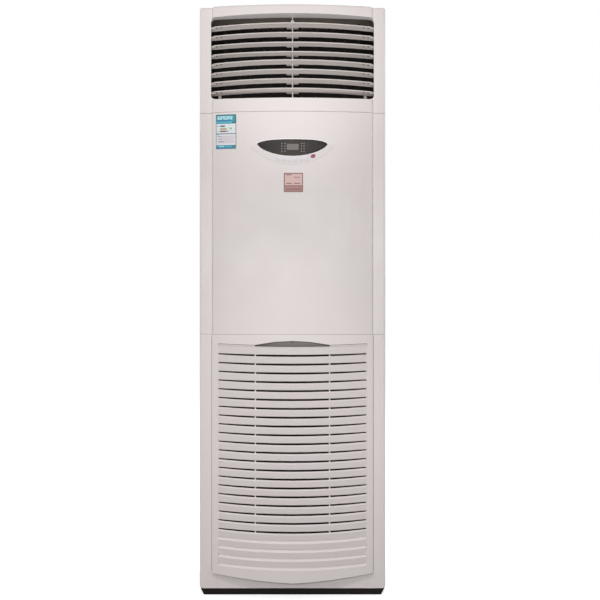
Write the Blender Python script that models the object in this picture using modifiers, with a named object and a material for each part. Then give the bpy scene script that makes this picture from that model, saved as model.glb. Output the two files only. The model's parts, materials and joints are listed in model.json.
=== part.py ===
"""Floor standing cabinet air conditioner (indoor unit), modelled at its real size in metres.

+Z is up, the front faces -Y, and the origin is at the bottom centre of the whole unit.
The front is three mouldings, one above the other: the outlet frame with its louvre bank, the
middle panel with the controls, and the slotted intake panel between two posts.
"""

import math

import bmesh
import bpy
from mathutils import Matrix, Vector

# Overall size
BODY_WIDTH = 0.560
BODY_DEPTH = 0.350
BODY_HEIGHT = 1.769

# Front surface in plan: flat side strips, then a step forward and a shallow bow
STRIP_WIDTH = 0.038
CENTRE_HALF = BODY_WIDTH / 2 - STRIP_WIDTH  # half width of the bowed part
STEP = 0.010  # how far the bowed part stands before the strips
BOW = 0.022  # further rise of the bow at the middle
CORNER_RADIUS = 0.006
TOP_EDGE_RADIUS = 0.006
FRONT_WALL = 0.003
RETURN_DEPTH = 0.025  # side return of the front mouldings
CONTROL_STAND = 0.0037  # how far the keys stand before the front
STRIP_Y = -BODY_DEPTH / 2 + CONTROL_STAND + STEP + BOW  # plane of the strips

# Heights of the seams and of the plinth
PLINTH_HEIGHT = 0.020
HEAD_HEIGHT = 0.319  # of the outlet frame
SEAM_LOW = 0.785
SEAM_HIGH = BODY_HEIGHT - HEAD_HEIGHT
SEAM_GAP = 0.0006
SEAM_CHAMFER = 0.0016
SEAT_GAP = 0.0003  # gap between pieces that touch

# Sheet metal
SHEET = 0.0015
SHEET_RETURN = 0.015
TOP_CAP = 0.016  # height of the top cover
TOP_CAP_WALL = 0.0025
BEAD_DEPTH = 0.004
BEAD_PITCH = 0.150
BEAD_WIDTH = 0.060
PIPE_HOLE_RADIUS = 0.038
PIPE_HOLE_INSET = 0.110  # from the side of the unit
PIPE_HOLE_RISE = 0.095  # above the plinth
COLLAR_WALL = 0.004
COLLAR_DEPTH = 0.012

# Plinth
PLINTH_INSET = 0.0035
PLINTH_TAPER = 0.0095
PLINTH_SETBACK = 0.001
PLINTH_FRONT_TAPER = 0.003
PLINTH_BACK_INSET = 0.0005

# Outlet opening
OUTLET_SIDE = 0.003  # how far the opening reaches past the bowed part
OUTLET_SILL = 0.040  # above the seam
CROWN_HEIGHT = 0.033
OUTLET_HALF = CENTRE_HALF + OUTLET_SIDE
OUTLET_BOTTOM = SEAM_HIGH + OUTLET_SILL
OUTLET_TOP = BODY_HEIGHT - CROWN_HEIGHT
OUTLET_ARCH = 0.0055  # rise of the top edge at the middle
OUTLET_RADIUS = 0.014
SLEEVE_DEPTH = 0.0137  # of the lips above and below the opening, from the strips
SLEEVE_WALL = 0.0025
SLEEVE_CORNER = 0.010  # how far the upper lip runs down at its ends
SLEEVE_FOOT = 0.004
SLEEVE_BACK = STRIP_Y + SLEEVE_DEPTH

# Air duct behind the outlet
DUCT_SIDE_ROOM = 0.009
DUCT_DEPTH = 0.130
DUCT_HALF = OUTLET_HALF + DUCT_SIDE_ROOM
DUCT_WALL = 0.003
DUCT_TOP = OUTLET_TOP + OUTLET_ARCH
DUCT_BOTTOM = OUTLET_BOTTOM
DUCT_FRONT = SLEEVE_BACK + SEAT_GAP
DUCT_SIDE_FRONT = STRIP_Y + FRONT_WALL + SEAT_GAP
DUCT_BACK = STRIP_Y + DUCT_DEPTH
BOSS_RADIUS = 0.005
BOSS_HEIGHT = 0.021
BOSS_INSET = 0.032  # from the duct's side
BOSS_SETBACK = 0.038  # from the strips

# Horizontal louvre blades, each turning about a straight axis behind it
BLADE_COUNT = 8
BLADE_TOP_ROOM = 0.0318  # from the first axis to the duct's ceiling
BLADE_BOTTOM_ROOM = 0.0240
BLADE_TOP_AXIS = DUCT_TOP - BLADE_TOP_ROOM
BLADE_PITCH = (BLADE_TOP_AXIS - DUCT_BOTTOM - BLADE_BOTTOM_ROOM) / (BLADE_COUNT - 1)
BLADE_AXIS_SETBACK = 0.015
BLADE_AXIS_Y = STRIP_Y + BLADE_AXIS_SETBACK
BLADE_END_GAP = 0.0055
BLADE_HALF = DUCT_HALF - BLADE_END_GAP
BLADE_CHORD = 0.0215
BLADE_HALF_THICK = 0.0009
BLADE_LIP = 0.0020  # half height of the thicker front edge
BLADE_BOW = 0.026
BLADE_SLOPE = math.radians(8)  # slope of the section in its neutral position
BLADE_NOSE_REACH = 0.032  # from the axis to the nose at mid length
BLADE_NOSE_RISE = 0.0015
BLADE_END_RADIUS = 0.012
BLADE_TILTS = (13.0, 11.0, 9.0, 8.0, 15.5, 15.0, 14.5, 13.0)  # degrees, as the blades stand
PIN_RADIUS = 0.0025
PIN_CLEARANCE = 0.0005
PIN_INNER = 0.012  # how far each end pin runs into its blade
STAY_PIN_RADIUS = 0.0018
STAY_PIN_HALF = 0.0038
STAY_WIDTH = 0.003
STAY_SIDE_GAP = 0.001
STAY_FRONT = 0.0105  # from the axis
STAY_REAR = 0.006
STAY_SLOT = 0.019  # how far before the axis each blade's slot starts
STAY_CLIP_HALF = 0.005
STAY_CLIP_DROP = 0.016  # from the duct's ceiling to the clip's underside
STAY_CLIP_HEIGHT = 0.006
LUG_HALF = 0.021
LUG_TIP_HALF = 0.017
LUG_FRONT = 0.016
LUG_TIP = 0.003
ARM_HALF = 0.004
ARM_FRONT = 0.008
ARM_DROP = 0.0036

# Vertical vanes behind the blades
VANE_COUNT = 10
VANE_PITCH = 2 * DUCT_HALF / (VANE_COUNT + 1.1)
VANE_SETBACK = 0.070
VANE_AXIS_Y = STRIP_Y + VANE_SETBACK
VANE_DEPTH = 0.044
VANE_THICK = 0.0018
VANE_MARGIN = 0.008  # above and below each vane
VANE_PIN_RADIUS = 0.003

# Slotted intake panel
PANEL_SIDE_GAP = 0.0005
PANEL_HALF = CENTRE_HALF - PANEL_SIDE_GAP
PANEL_WALL = 0.0025
ROW_TOP_DROP = 0.0352  # from the seam to the first, blind groove at mid width
ROW_FIRST_DROP = 0.0022  # extra room below that groove
ROW_BOTTOM_RISE = 0.0439  # from the panel's lower edge to the last groove
ROW_COUNT = 26
SLOT_FIRST = 1
SLOT_LAST = 21
SLOT_INSET = 0.0215
SLOT_HALF = CENTRE_HALF - SLOT_INSET
SLOT_END = 0.0035  # rounding of the grooves at their ends
DIVIDER_HALF = 0.0018
SLOT_HEIGHT = 0.0054
HEAD_GROOVE_HEIGHT = 0.0030
GROOVE_DEPTH = 0.0055
RIB_LEAN = 0.0028  # how far each rib leans back towards the slot above it
SHOULDER = 0.0034  # sloping upper edge of each rib
UNDERCUT = 0.0015  # sloping lower edge of each rib
SAG_TOP = 0.0060  # how far the first row hangs lower at mid width
SAG_BOTTOM = 0.0110
PANEL_EDGE = 0.0690  # bottom edge of the panel at its sides
PANEL_EDGE_SAG = 0.0245
EDGE_POWER = 1.4
ROW_TOP = SEAM_LOW - ROW_TOP_DROP
ROW_LAST = PANEL_EDGE - PANEL_EDGE_SAG + ROW_BOTTOM_RISE
ROW_PITCH = (ROW_TOP - ROW_FIRST_DROP - ROW_LAST) / (ROW_COUNT - 1)
HANDLE_SHARE = 0.5034  # of the slots' half width
HANDLE_HALF = SLOT_HALF * HANDLE_SHARE
HANDLE_RISE = 0.0132
HANDLE_DEPTH = 0.022

# Posts, kick panel and filter behind the intake panel
POST_LAP = 0.017  # of each post behind the panel
POST_INNER = CENTRE_HALF - POST_LAP
KICK_LAP = 0.043
KICK_TOP = PANEL_EDGE + KICK_LAP
FILTER_SIDE_LAP = 0.007
FILTER_FOOT_LAP = 0.052
FILTER_HEAD_GAP = 0.007
FILTER_HALF = POST_INNER + FILTER_SIDE_LAP
FILTER_BOTTOM = KICK_TOP - FILTER_FOOT_LAP
FILTER_TOP = SEAM_LOW - FILTER_HEAD_GAP
FILTER_THICK = 0.004
RIB_X = 0.031
RIB_HALF = 0.001
RIB_FRONT = 0.012  # how far the inner ribs stand before the filter

# Controls on the middle panel
CONTROL_DROP = 0.0981  # from the upper seam to the tips of the lens
LENS_HALF = 0.1045
LENS_TIP_Z = SEAM_HIGH - CONTROL_DROP
LENS_RISE = 0.0138
LENS_DROP = 0.0356
LENS_THICK = 0.0012
BEZEL_HALF = 0.1260
BEZEL_TIP_DROP = 0.0074  # from the lens's tips
BEZEL_TIP_Z = LENS_TIP_Z - BEZEL_TIP_DROP
BEZEL_RISE = 0.0260
BEZEL_DROP = 0.0540
BEZEL_THICK = 0.0015
KEY_COUNT = 6
KEY_PITCH = 0.0176
KEY_HALF = 0.0056
KEY_HEIGHT = 0.0036
KEY_RISE = 0.0010
KEY_MARGIN = 0.0012
KEY_SHARE = 0.40  # how far down the strip below the lens the keys lie
KEYPAD_THICK = 0.0006
POWER_HALF = 0.0076
POWER_HEIGHT = 0.0056

MATERIALS = {
    "ivory_plastic": ((0.78, 0.75, 0.73), 0.38, 0.0),
    "ivory_paint": ((0.76, 0.74, 0.72), 0.45, 0.0),
    "louvre_grey": ((0.60, 0.57, 0.55), 0.45, 0.0),
    "duct_dark": ((0.035, 0.033, 0.032), 0.8, 0.0),
    "duct_grey": ((0.60, 0.56, 0.52), 0.6, 0.0),
    "vane_grey": ((0.16, 0.15, 0.15), 0.6, 0.0),
    "plinth_black": ((0.015, 0.013, 0.012), 0.55, 0.0),
    "filter_dark": ((0.03, 0.03, 0.03), 0.9, 0.0),
    "lens_brown": ((0.045, 0.038, 0.034), 0.12, 0.0),
    "bezel_white": ((0.86, 0.84, 0.83), 0.3, 0.0),
    "key_white": ((0.80, 0.78, 0.78), 0.4, 0.0),
    "power_red": ((0.55, 0.05, 0.12), 0.35, 0.0),
}


def clear_scene():
    for obj in list(bpy.data.objects):
        bpy.data.objects.remove(obj, do_unlink=True)


def make_collection(name):
    collection = bpy.data.collections.new(name)
    bpy.context.scene.collection.children.link(collection)
    return collection


def make_material(name):
    colour, roughness, metallic = MATERIALS[name]
    material = bpy.data.materials.new(name)
    material.use_nodes = True
    shader = material.node_tree.nodes["Principled BSDF"]
    shader.inputs["Base Color"].default_value = (*colour, 1.0)
    shader.inputs["Roughness"].default_value = roughness
    shader.inputs["Metallic"].default_value = metallic
    return material


def bow(x):
    """How far the front stands before the strips at x, on the bowed part."""
    t = min(1.0, abs(x) / CENTRE_HALF)
    return STEP + BOW * (1 - t * t)


def front_y(x):
    return STRIP_Y - bow(x)


def spaced(start, end, count):
    """count + 1 evenly spaced values from start to end."""
    return [start + (end - start) * i / count for i in range(count + 1)]


def object_from(name, bm, material, collection):
    mesh = bpy.data.meshes.new(name)
    bm.to_mesh(mesh)
    bm.free()
    mesh.materials.append(material)
    obj = bpy.data.objects.new(name, mesh)
    collection.objects.link(obj)
    return obj


def shaped_grid(columns, rows, place):
    """A grid of columns by rows cells, whose corner (i, j) lies at place(i, j)."""
    bm = bmesh.new()
    bmesh.ops.create_grid(bm, x_segments=columns, y_segments=rows, size=0.5)
    for vert in bm.verts:
        i = round((vert.co.x + 0.5) * columns)
        j = round((vert.co.y + 0.5) * rows)
        vert.co = place(i, j)
    bm.normal_update()
    return bm


def solidify(obj, thickness, offset=-1.0):
    modifier = obj.modifiers.new("Wall", "SOLIDIFY")
    modifier.thickness = thickness
    modifier.offset = offset
    modifier.use_even_offset = True
    return modifier


def boolean(obj, other, operation):
    modifier = obj.modifiers.new(operation.title(), "BOOLEAN")
    modifier.operation = operation
    modifier.object = other
    return modifier


def baked(obj):
    """obj with its modifiers applied, so that its mesh can be shared or cut again."""
    graph = bpy.context.evaluated_depsgraph_get()
    mesh = bpy.data.meshes.new_from_object(obj.evaluated_get(graph))
    obj.modifiers.clear()
    obj.data = mesh
    return obj


def box(name, low, high, material, collection):
    bm = bmesh.new()
    low, high = Vector(low), Vector(high)
    size = high - low
    matrix = Matrix.Translation((low + high) / 2) @ Matrix.Diagonal((*size, 1.0))
    bmesh.ops.create_cube(bm, size=1.0, matrix=matrix)
    return object_from(name, bm, material, collection)


def cylinder(name, radius, low, high, axis, material, collection, segments=12):
    """A round bar whose axis runs from low to high along the named axis."""
    bm = bmesh.new()
    start, end = Vector(low), Vector(high)
    turn = {"X": Matrix.Rotation(math.pi / 2, 4, "Y"), "Y": Matrix.Rotation(math.pi / 2, 4, "X")}
    matrix = Matrix.Translation((start + end) / 2) @ turn.get(axis, Matrix.Identity(4))
    bmesh.ops.create_cone(
        bm,
        cap_ends=True,
        segments=segments,
        radius1=radius,
        radius2=radius,
        depth=(end - start).length,
        matrix=matrix,
    )
    return object_from(name, bm, material, collection)


def prism(name, outline, low_z, high_z, material, collection):
    """A closed plan outline, given anticlockwise from above, raised from low_z to high_z."""
    bm = bmesh.new()
    face = bm.faces.new([bm.verts.new((x, y, low_z)) for x, y in outline])
    raised = bmesh.ops.extrude_face_region(bm, geom=[face])
    verts = [v for v in raised["geom"] if isinstance(v, bmesh.types.BMVert)]
    bmesh.ops.translate(bm, verts=verts, vec=(0, 0, high_z - low_z))
    bmesh.ops.recalc_face_normals(bm, faces=bm.faces)
    return object_from(name, bm, material, collection)


def smooth(obj, angle=math.radians(35)):
    obj.data.shade_smooth()
    obj.data.set_sharp_from_angle(angle=angle)


def mark_helper(obj, helpers):
    """Turns obj into a cutter or a guide, which isn't part of the unit."""
    for collection in list(obj.users_collection):
        collection.objects.unlink(obj)
    helpers.objects.link(obj)
    obj.hide_render = True
    obj.display_type = "WIRE"
    return obj


def front_path(inset=0.0, segments=14):
    """Plan of the front from the left return to the right one; inset moves it inwards."""
    half = BODY_WIDTH / 2 - inset
    radius = CORNER_RADIUS - inset
    front = STRIP_Y + inset
    left = [(-half, STRIP_Y + RETURN_DEPTH)]
    for turn in spaced(0.0, math.pi / 2, 3):
        left.append(
            (-half + radius * (1 - math.cos(turn)), front + radius * (1 - math.sin(turn)))
        )
    step_x = CENTRE_HALF - inset
    left.append((-step_x - 0.0005, front))
    left.append((-step_x + 0.0020, front_y(step_x) + inset + 0.0015))
    middle = [
        (x, front_y(x) + inset) for x in spaced(-step_x + 0.005, step_x - 0.005, segments)
    ]
    right = [(-x, y) for x, y in reversed(left)]
    return left + middle + right


def rounded_outline(half, bottom, top, arch, radius, steps=4):
    """Outline of the outlet in the XZ plane, with round corners and an arched top edge."""
    points = []
    corners = [
        (-half + radius, bottom + radius, math.pi, 1.5 * math.pi),
        (half - radius, bottom + radius, 1.5 * math.pi, 2 * math.pi),
        (half - radius, top - radius, 0.0, 0.5 * math.pi),
    ]
    for x, z, start, end in corners:
        for angle in spaced(start, end, steps):
            points.append((x + radius * math.cos(angle), z + radius * math.sin(angle)))
    for x in spaced(half - radius, -half + radius, 10)[1:-1]:
        points.append((x, top + arch * (1 - (x / (half - radius)) ** 2)))
    for angle in spaced(0.5 * math.pi, math.pi, steps):
        points.append((-half + radius + radius * math.cos(angle), top - radius + radius * math.sin(angle)))
    return points


def facing_prism(name, outline, front, back, material, collection):
    """An XZ outline made a prism from y = front to y = back."""
    obj = prism(name, [(x, -z) for x, z in outline], front, back, material, collection)
    obj.data.transform(Matrix(((1, 0, 0, 0), (0, 0, 1, 0), (0, -1, 0, 0), (0, 0, 0, 1))))
    return obj


def make_plinth(parts, materials):
    half = BODY_WIDTH / 2 - PLINTH_INSET
    obj = box(
        "base_plinth",
        (-half, STRIP_Y + PLINTH_SETBACK, 0),
        (half, BODY_DEPTH / 2 - PLINTH_BACK_INSET, PLINTH_HEIGHT),
        materials["plinth_black"],
        parts,
    )
    for vert in obj.data.vertices:
        if vert.co.z < PLINTH_HEIGHT / 2:
            vert.co.x -= math.copysign(PLINTH_TAPER, vert.co.x)
            if vert.co.y < 0:
                vert.co.y += PLINTH_FRONT_TAPER
    return obj


def path_shell(name, path, heights, wall, material, collection):
    """A wall that follows a plan path; heights holds, per row, (z, how far the sides draw in,
    how far the front draws back)."""

    def place(i, j):
        x, y = path[i]
        z, shrink, back = heights[j]
        share = min(1.0, max(0.0, (abs(x) - CENTRE_HALF) / STRIP_WIDTH))
        fade = min(1.0, (STRIP_Y + RETURN_DEPTH - y) / RETURN_DEPTH)
        return Vector((x - math.copysign(shrink * share, x), y + back * fade, z))

    bm = shaped_grid(len(path) - 1, len(heights) - 1, place)
    obj = object_from(name, bm, material, collection)
    solidify(obj, wall)
    return obj


def rounded_body(name, outline, low, high, radius, material, collection):
    """A plan outline raised from low to high, whose top edge is rounded but for the back."""
    half = BODY_WIDTH / 2
    rows = [(low, 0.0)]
    for turn in spaced(0.0, math.pi / 2, 3):
        rows.append((high - radius + radius * math.sin(turn), radius * (1 - math.cos(turn))))
    bm = bmesh.new()
    rings = []
    for z, inset in rows:
        ring = []
        for x, y in outline:
            fade = min(1.0, (STRIP_Y + RETURN_DEPTH - y) / RETURN_DEPTH)
            ring.append(bm.verts.new((x * (1 - inset / half), y + inset * fade, z)))
        rings.append(ring)
    count = len(outline)
    for below, above in zip(rings, rings[1:]):
        for i in range(count):
            k = (i + 1) % count
            bm.faces.new((below[i], below[k], above[k], above[i]))
    bm.faces.new(rings[-1])
    bm.faces.new(rings[0][::-1])
    bmesh.ops.recalc_face_normals(bm, faces=bm.faces)
    return object_from(name, bm, material, collection)


def make_outlet_frame(parts, helpers, materials):
    material = materials["ivory_plastic"]
    low = SEAM_HIGH + SEAM_GAP / 2
    outer = front_path()
    inner = front_path(FRONT_WALL)
    frame = rounded_body(
        "outlet_frame", outer, low, BODY_HEIGHT, TOP_EDGE_RADIUS, material, parts
    )
    room = [(x, y + (0.02 if i in (0, len(inner) - 1) else 0)) for i, (x, y) in enumerate(inner)]
    hollow = prism("frame_room", room, low - 0.01, BODY_HEIGHT - FRONT_WALL, material, parts)
    opening = rounded_outline(OUTLET_HALF, OUTLET_BOTTOM, OUTLET_TOP, OUTLET_ARCH, OUTLET_RADIUS)
    cutter = facing_prism("outlet_cutter", opening, STRIP_Y - 0.1, STRIP_Y + 0.1, material, parts)
    body = prism("front_body", outer, low, BODY_HEIGHT - FRONT_WALL / 2, material, parts)
    grown = rounded_outline(
        OUTLET_HALF + SLEEVE_WALL,
        OUTLET_BOTTOM - SLEEVE_WALL,
        OUTLET_TOP + SLEEVE_WALL,
        OUTLET_ARCH,
        OUTLET_RADIUS + SLEEVE_WALL,
    )
    sleeve = facing_prism("outlet_sleeve", grown, STRIP_Y - 0.1, SLEEVE_BACK, material, parts)
    sides = box(
        "sleeve_sides",
        (-BODY_WIDTH, STRIP_Y + FRONT_WALL, OUTLET_BOTTOM + SLEEVE_FOOT),
        (BODY_WIDTH, STRIP_Y + 0.1, OUTLET_TOP - SLEEVE_CORNER),
        material,
        parts,
    )
    boolean(sleeve, body, "INTERSECT")
    boolean(sleeve, sides, "DIFFERENCE")
    for helper in (hollow, cutter, body, sleeve, sides):
        mark_helper(helper, helpers)
    boolean(frame, hollow, "DIFFERENCE")
    boolean(frame, sleeve, "UNION")
    boolean(frame, cutter, "DIFFERENCE")
    return frame


def make_middle_panel(parts, materials):
    low = SEAM_LOW + SEAM_GAP / 2
    high = SEAM_HIGH - SEAM_GAP / 2
    edge = SEAM_CHAMFER / 2
    heights = [(low, 0, 0), (high - edge, 0, 0), (high, 0, edge)]
    return path_shell(
        "middle_panel", front_path(), heights, FRONT_WALL, materials["ivory_plastic"], parts
    )


def make_posts(parts, materials):
    path = front_path()[:5]
    path.append((-POST_INNER, STRIP_Y))
    foot = PLINTH_HEIGHT + SEAT_GAP
    head = SEAM_LOW - SEAM_GAP / 2
    heights = [
        (foot, 0.005, 0),
        (foot + 0.0015, 0.002, 0),
        (foot + 0.006, 0, 0),
        (head - SEAM_CHAMFER, 0, 0),
        (head, 0, SEAM_CHAMFER / 2),
    ]
    for side, sign in (("left", 1), ("right", -1)):
        points = path if sign > 0 else [(-x, y) for x, y in reversed(path)]
        path_shell(
            f"lower_post_{side}", points, heights, FRONT_WALL, materials["ivory_plastic"], parts
        )


def make_kick_panel(parts, materials):
    foot = PLINTH_HEIGHT + SEAT_GAP
    inner = POST_INNER - SEAT_GAP
    return box(
        "kick_panel",
        (-inner, STRIP_Y, foot),
        (inner, STRIP_Y + FRONT_WALL, KICK_TOP),
        materials["ivory_plastic"],
        parts,
    )


def row_z(row, x):
    """Height of a row's slot centre at x. Rows hang lower at mid width."""
    share = row / (ROW_COUNT - 1)
    sag = SAG_TOP + (SAG_BOTTOM - SAG_TOP) * share
    drop = row * ROW_PITCH + (ROW_FIRST_DROP if row else 0.0)
    return ROW_TOP - drop + sag * (x / CENTRE_HALF) ** 2


def panel_edge_z(x):
    return PANEL_EDGE - PANEL_EDGE_SAG * (1 - (abs(x) / CENTRE_HALF) ** EDGE_POWER)


def slot_half_height(x, row=1):
    """Half the slot's height, which shrinks towards its ends; the first groove's is even."""
    if row == 0:
        return HEAD_GROOVE_HEIGHT / 2
    return SLOT_HEIGHT / 2 * (1 - 0.42 * (x / SLOT_HALF) ** 2)


def handle_edge_z(x):
    """Upper edge of the first groove, which rises into the arch of the handle recess."""
    edge = row_z(0, x) + slot_half_height(x, 0)
    return edge + HANDLE_RISE * max(0.0, 1 - (x / HANDLE_HALF) ** 2)


def make_intake_panel(parts, helpers, materials):
    left_columns = [-PANEL_HALF, -PANEL_HALF, -SLOT_HALF - SLOT_END, -SLOT_HALF]
    left_columns += spaced(-SLOT_HALF, -HANDLE_HALF - DIVIDER_HALF, 2)[1:]
    middle = spaced(-HANDLE_HALF + DIVIDER_HALF, HANDLE_HALF - DIVIDER_HALF, 4)
    columns = left_columns + middle + [-x for x in reversed(left_columns)]
    last = len(columns) - 1
    top = SEAM_LOW - SEAM_GAP / 2
    grooved = SLOT_HALF + SLOT_END / 2

    def groove(x):
        return GROOVE_DEPTH if abs(x) < grooved else 0.0

    def recess(x):
        return HANDLE_DEPTH if abs(x) < HANDLE_HALF else groove(x)

    def lean(x):
        return RIB_LEAN if abs(x) < grooved else 0.0

    def flush(x):
        return 0.0

    # Each row of corners is (height at x, depth at x behind the front surface)
    levels = [
        (lambda x: top, lambda x: SEAM_CHAMFER / 2),
        (lambda x: top - SEAM_CHAMFER, flush),
    ]
    slots = []
    for row in range(ROW_COUNT):
        if row:
            upper = lambda x, r=row: row_z(r, x) + slot_half_height(x)
        else:
            upper = handle_edge_z
        lower = lambda x, r=row: row_z(r, x) - slot_half_height(x, r)
        levels.append((lambda x, f=upper: f(x) + UNDERCUT, lean if row else flush))
        levels.append((upper, groove if row else recess))
        if SLOT_FIRST <= row <= SLOT_LAST:
            slots.append(len(levels) - 1)
        if row == 0:
            levels.append((lambda x, f=lower: f(x) + UNDERCUT, recess))
        levels.append((lower, groove))
        levels.append((lambda x, f=lower: f(x) - SHOULDER, flush))
    levels.append((panel_edge_z, flush))
    levels.append((panel_edge_z, None))
    levels.reverse()
    slots = [len(levels) - 2 - s for s in slots]
    flange = STRIP_Y - SEAT_GAP

    def place(i, j):
        x = columns[i]
        height, depth = levels[j]
        if i in (0, last) or depth is None:
            y = flange
        else:
            y = front_y(x) + depth(x)
        return Vector((x, y, height(x)))

    bm = shaped_grid(last, len(levels) - 1, place)
    dividers = {len(left_columns) - 1, last - len(left_columns)}
    holes = []
    bm.faces.ensure_lookup_table()
    for face in bm.faces:
        centre = face.calc_center_median()
        for j in slots:
            height_low = levels[j][0](centre.x)
            height_high = levels[j + 1][0](centre.x)
            if height_low < centre.z < height_high and abs(centre.x) < SLOT_HALF:
                column = max(k for k in range(last + 1) if columns[k] <= centre.x)
                if column not in dividers:
                    holes.append(face)
    bmesh.ops.delete(bm, geom=holes, context="FACES")
    bmesh.ops.remove_doubles(bm, verts=bm.verts, dist=0.00001)
    panel = object_from("intake_panel", bm, materials["ivory_plastic"], parts)
    solidify(panel, PANEL_WALL)
    return panel


def make_filter(parts, helpers, materials):
    material = materials["filter_dark"]
    front = STRIP_Y + FRONT_WALL + SEAT_GAP
    screen = box(
        "filter_frame",
        (-FILTER_HALF, front, FILTER_BOTTOM),
        (FILTER_HALF, front + FILTER_THICK, FILTER_TOP),
        material,
        parts,
    )
    for side in (-1, 1):
        rib = box(
            f"rib_{side}",
            (side * RIB_X - RIB_HALF, front - RIB_FRONT, KICK_TOP + 0.01),
            (side * RIB_X + RIB_HALF, front + FILTER_THICK / 2, ROW_TOP - 0.012),
            material,
            parts,
        )
        boolean(screen, mark_helper(rib, helpers), "UNION")
    return screen


def make_side_panels(parts, materials):
    half = BODY_WIDTH / 2
    front = STRIP_Y + RETURN_DEPTH + SEAM_GAP / 2
    back = BODY_DEPTH / 2
    path = [
        (-half + SHEET_RETURN, back),
        (-half, back),
        (-half, front),
        (-half + SHEET_RETURN, front),
    ]
    heights = [(PLINTH_HEIGHT + SEAT_GAP, 0, 0), (BODY_HEIGHT - TOP_CAP - SEAT_GAP, 0, 0)]
    for side, sign in (("left", 1), ("right", -1)):
        points = path if sign > 0 else [(-x, y) for x, y in reversed(path)]
        path_shell(f"side_panel_{side}", points, heights, SHEET, materials["ivory_paint"], parts)


def make_back_panel(parts, helpers, materials):
    half = BODY_WIDTH / 2 - SHEET_RETURN - SEAT_GAP
    back = BODY_DEPTH / 2
    foot = PLINTH_HEIGHT + SEAT_GAP
    top = BODY_HEIGHT - TOP_CAP - SEAT_GAP
    heights = [foot]
    first = 0.300
    while first + BEAD_WIDTH < top - 0.05:
        heights += [first, first + 0.010, first + BEAD_WIDTH - 0.010, first + BEAD_WIDTH]
        first += BEAD_PITCH
    heights.append(top)
    columns = [half, 0.215, 0.200, -0.200, -0.215, -half]

    def place(i, j):
        inside = 2 <= i <= 3 and j > 0 and (j - 1) % 4 in (1, 2) and j < len(heights) - 1
        return Vector((columns[i], back - (BEAD_DEPTH if inside else 0), heights[j]))

    bm = shaped_grid(len(columns) - 1, len(heights) - 1, place)
    panel = object_from("back_panel", bm, materials["ivory_paint"], parts)
    solidify(panel, SHEET)
    hole_x = BODY_WIDTH / 2 - PIPE_HOLE_INSET
    hole_z = PLINTH_HEIGHT + PIPE_HOLE_RISE
    for name, radius, depth, operation in (
        ("pipe_collar", PIPE_HOLE_RADIUS + COLLAR_WALL, 0.0, "UNION"),
        ("pipe_hole", PIPE_HOLE_RADIUS, COLLAR_DEPTH, "DIFFERENCE"),
    ):
        tool = cylinder(
            name,
            radius,
            (hole_x, back - COLLAR_DEPTH - depth, hole_z),
            (hole_x, back - SHEET / 2 + depth, hole_z),
            "Y",
            materials["ivory_paint"],
            parts,
            segments=16,
        )
        boolean(panel, mark_helper(tool, helpers), operation)
    return panel


def make_top_cover(parts, helpers, materials):
    half = BODY_WIDTH / 2
    front = STRIP_Y + RETURN_DEPTH + SEAT_GAP
    back = BODY_DEPTH / 2
    low = BODY_HEIGHT - TOP_CAP
    cover = box(
        "top_cover", (-half, front, low), (half, back, BODY_HEIGHT), materials["ivory_paint"], parts
    )
    bm = bmesh.new()
    bm.from_mesh(cover.data)
    middle_y = (front + back) / 2
    edges = [
        edge
        for edge in bm.edges
        if all(vert.co.z > BODY_HEIGHT - TOP_CAP / 2 for vert in edge.verts)
        and any(vert.co.y > middle_y for vert in edge.verts)
    ]
    bmesh.ops.bevel(
        bm, geom=edges, offset=TOP_EDGE_RADIUS, segments=3, profile=0.5, affect="EDGES"
    )
    bm.to_mesh(cover.data)
    bm.free()
    room = box(
        "cover_room",
        (-half + TOP_CAP_WALL, front + TOP_CAP_WALL, low - 0.01),
        (half - TOP_CAP_WALL, back - TOP_CAP_WALL, BODY_HEIGHT - TOP_CAP_WALL),
        materials["ivory_paint"],
        parts,
    )
    boolean(cover, mark_helper(room, helpers), "DIFFERENCE")
    return cover


def blade_axis_z(index):
    return BLADE_TOP_AXIS - index * BLADE_PITCH


def vane_axis_x(index):
    return (index - (VANE_COUNT - 1) / 2) * VANE_PITCH


def pierced_wall(name, x_range, y_range, z_range, radius, material, collection):
    """An upright wall across X with a round hole on each blade's axis."""
    reach = 1.5 * radius
    y_lines = [y_range[0], BLADE_AXIS_Y - reach, BLADE_AXIS_Y + reach, y_range[1]]
    axes = [blade_axis_z(index) for index in reversed(range(BLADE_COUNT))]
    z_lines = [z_range[0]] + [(a + b) / 2 for a, b in zip(axes, axes[1:])] + [z_range[1]]
    bm = bmesh.new()
    grid = [[bm.verts.new((x_range[0], y, z)) for y in y_lines] for z in z_lines]
    for axis_z, low, high in zip(axes, grid, grid[1:]):
        for i in (0, 2):
            bm.faces.new((low[i], low[i + 1], high[i + 1], high[i]))
        corners = [high[2], high[1], low[1], low[2]]
        rim = []
        for turn in spaced(0.0, 2 * math.pi, 8)[:-1]:
            y = BLADE_AXIS_Y + radius * math.cos(turn)
            rim.append(bm.verts.new((x_range[0], y, axis_z + radius * math.sin(turn))))
        for k, corner in enumerate(corners):
            after = rim[(2 * k + 2) % 8]
            bm.faces.new((rim[2 * k], corner, rim[2 * k + 1]))
            bm.faces.new((rim[2 * k + 1], corner, after))
            bm.faces.new((after, corner, corners[(k + 1) % 4]))
    raised = bmesh.ops.extrude_face_region(bm, geom=bm.faces[:])
    verts = [v for v in raised["geom"] if isinstance(v, bmesh.types.BMVert)]
    bmesh.ops.translate(bm, verts=verts, vec=(x_range[1] - x_range[0], 0, 0))
    bmesh.ops.recalc_face_normals(bm, faces=bm.faces)
    return object_from(name, bm, material, collection)


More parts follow.
